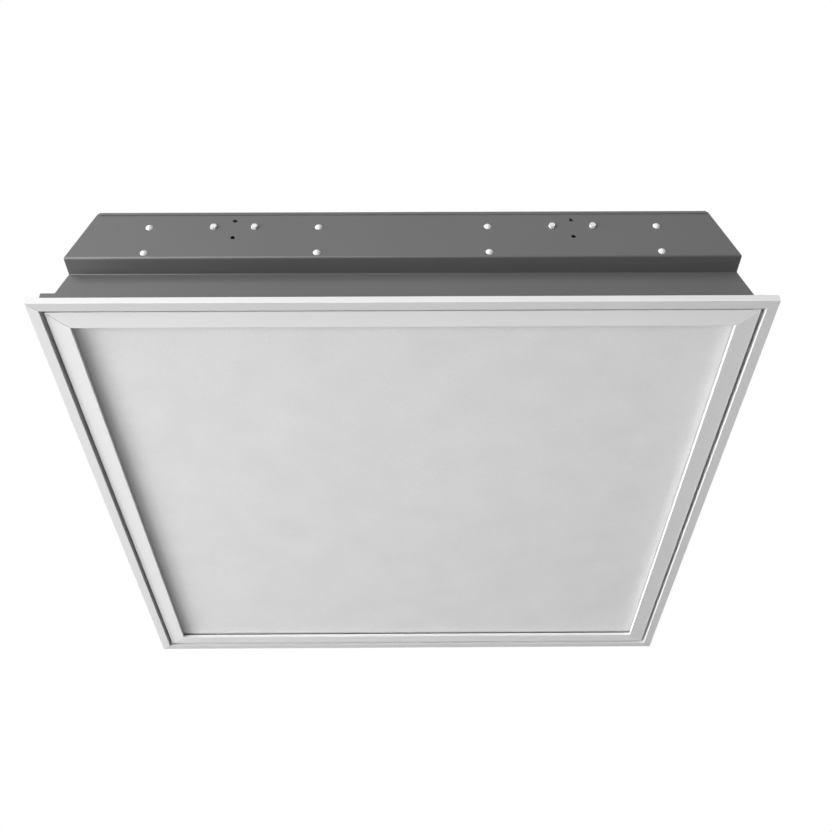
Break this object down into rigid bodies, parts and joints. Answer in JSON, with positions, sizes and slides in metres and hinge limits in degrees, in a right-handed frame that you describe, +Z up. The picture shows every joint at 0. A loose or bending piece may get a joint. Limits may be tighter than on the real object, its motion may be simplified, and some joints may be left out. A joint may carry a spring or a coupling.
{
  "type": "recessed troffer light",
  "caption": "Square recessed troffer light for a ceiling grid: grey stepped housing, white mitred rim, hinged door frame with opal diffuser, tubular lamps and gear inside.",
  "frame": {"origin": "centre of the rim on its underside, which rests on the ceiling T-bars", "axes": "+Z up into the ceiling, Y along the lamps, X across them; the near end plate faces -Y"},
  "size_m": [0.595, 0.5974, 0.1116],
  "materials": {
    "ballast_case": "bright",
    "cap_aluminium": "bright drawn",
    "door_paint": "satin white",
    "gasket_foam": "closed-cell foam",
    "grommet_rubber": "matt black",
    "holder_plastic": "white thermoplastic",
    "housing_steel": "smooth grey",
    "key_steel": "dull",
    "lamp_glass": "phosphor-coated glass",
    "lead_insulation": "white PVC",
    "opal_acrylic": "opal, fine matt",
    "reflector_paint": "gloss white",
    "rim_paint": "semi-gloss white",
    "rivet_aluminium": "satin",
    "screw_steel": "zinc-plated",
    "spring_steel": "bright spring steel",
    "tab_steel": "smooth grey",
    "terminal_plastic": "white",
    "white_rivet": "gloss white",
    "white_screw": "gloss white",
    "zinc_steel": "zinc-plated"
  },
  "bodies": {
    "housing": {"ballast": "ballast_case", "bracket_rivets": "white_rivet", "cable_grommet": "grommet_rubber", "catch_rivets": "rivet_aluminium", "catch_springs": "spring_steel", "earth_lug": "screw_steel", "end_plate_far": "housing_steel", "end_plate_near": "housing_steel", "gear_bridges": "zinc_steel", "gear_cover": "reflector_paint", "gear_cover_screws": "screw_steel", "hanger_gussets": "zinc_steel", "hanger_screws": "white_screw", "hinge_brackets": "zinc_steel", "hinge_rivets": "rivet_aluminium", "hold_down_tab_rivets": "rivet_aluminium", "housing_shell": "housing_steel", "lampholder_brackets_far": "zinc_steel", "lampholder_brackets_near": "zinc_steel", "lampholders_far": "holder_plastic", "lampholders_near": "holder_plastic", "leads": "lead_insulation", "reflector_tray_left": "reflector_paint", "reflector_tray_right": "reflector_paint", "rim_corner_keys": "key_steel", "rim_far": "rim_paint", "rim_left": "rim_paint", "rim_near": "rim_paint", "rim_right": "rim_paint", "rim_rivets": "rivet_aluminium", "roof_screws": "screw_steel", "side_rivets": "rivet_aluminium", "terminal_block": "terminal_plastic"},
    "door": {"door_corner_keys": "zinc_steel", "door_rail_far": "door_paint", "door_rail_left": "door_paint", "door_rail_near": "door_paint", "door_rail_right": "door_paint", "diffuser_panel": "opal_acrylic", "diffuser_gasket": "gasket_foam", "diffuser_clips": "spring_steel", "hinge_knuckles": "zinc_steel", "hinge_pins": "screw_steel"},
    "tab_near_left": {"hold_down_tab_near_left": "tab_steel"},
    "tab_near_right": {"hold_down_tab_near_right": "tab_steel"},
    "tab_far_right": {"hold_down_tab_far_right": "tab_steel"},
    "tab_far_left": {"hold_down_tab_far_left": "tab_steel"},
    "lamp_1": {"lamp_1_tube": "lamp_glass", "lamp_1_caps": "cap_aluminium", "lamp_1_rotors": "holder_plastic"},
    "lamp_2": {"lamp_2_tube": "lamp_glass", "lamp_2_caps": "cap_aluminium", "lamp_2_rotors": "holder_plastic"},
    "lamp_3": {"lamp_3_tube": "lamp_glass", "lamp_3_caps": "cap_aluminium", "lamp_3_rotors": "holder_plastic"},
    "lamp_4": {"lamp_4_tube": "lamp_glass", "lamp_4_caps": "cap_aluminium", "lamp_4_rotors": "holder_plastic"}
  },
  "joints": [
    {"name": "door_swing", "type": "hinge", "parent": "housing", "child": "door", "pos_m": [0, 0.2825, 0.007], "axis": [1, 0, 0], "range_deg": [0, 90], "deforming": ["catch_springs"]},
    {"name": "tab_near_left_slide", "type": "slide", "parent": "housing", "child": "tab_near_left", "axis": [1, 0, 0], "range_m": [0, 0.014]},
    {"name": "tab_near_right_slide", "type": "slide", "parent": "housing", "child": "tab_near_right", "axis": [1, 0, 0], "range_m": [0, 0.014]},
    {"name": "tab_far_right_slide", "type": "slide", "parent": "housing", "child": "tab_far_right", "axis": [1, 0, 0], "range_m": [0, 0.014]},
    {"name": "tab_far_left_slide", "type": "slide", "parent": "housing", "child": "tab_far_left", "axis": [-1, 0, 0], "range_m": [0, 0.014]},
    {"name": "lamp_1_twist", "type": "hinge", "parent": "housing", "child": "lamp_1", "pos_m": [-0.213, 0, 0.0744], "axis": [0, 1, 0], "range_deg": [0, 90]},
    {"name": "lamp_2_twist", "type": "hinge", "parent": "housing", "child": "lamp_2", "pos_m": [-0.071, 0, 0.0744], "axis": [0, 1, 0], "range_deg": [0, 90]},
    {"name": "lamp_3_twist", "type": "hinge", "parent": "housing", "child": "lamp_3", "pos_m": [0.071, 0, 0.0744], "axis": [0, 1, 0], "range_deg": [0, 90]},
    {"name": "lamp_4_twist", "type": "hinge", "parent": "housing", "child": "lamp_4", "pos_m": [0.213, 0, 0.0744], "axis": [0, 1, 0], "range_deg": [0, 90]}
  ]
}
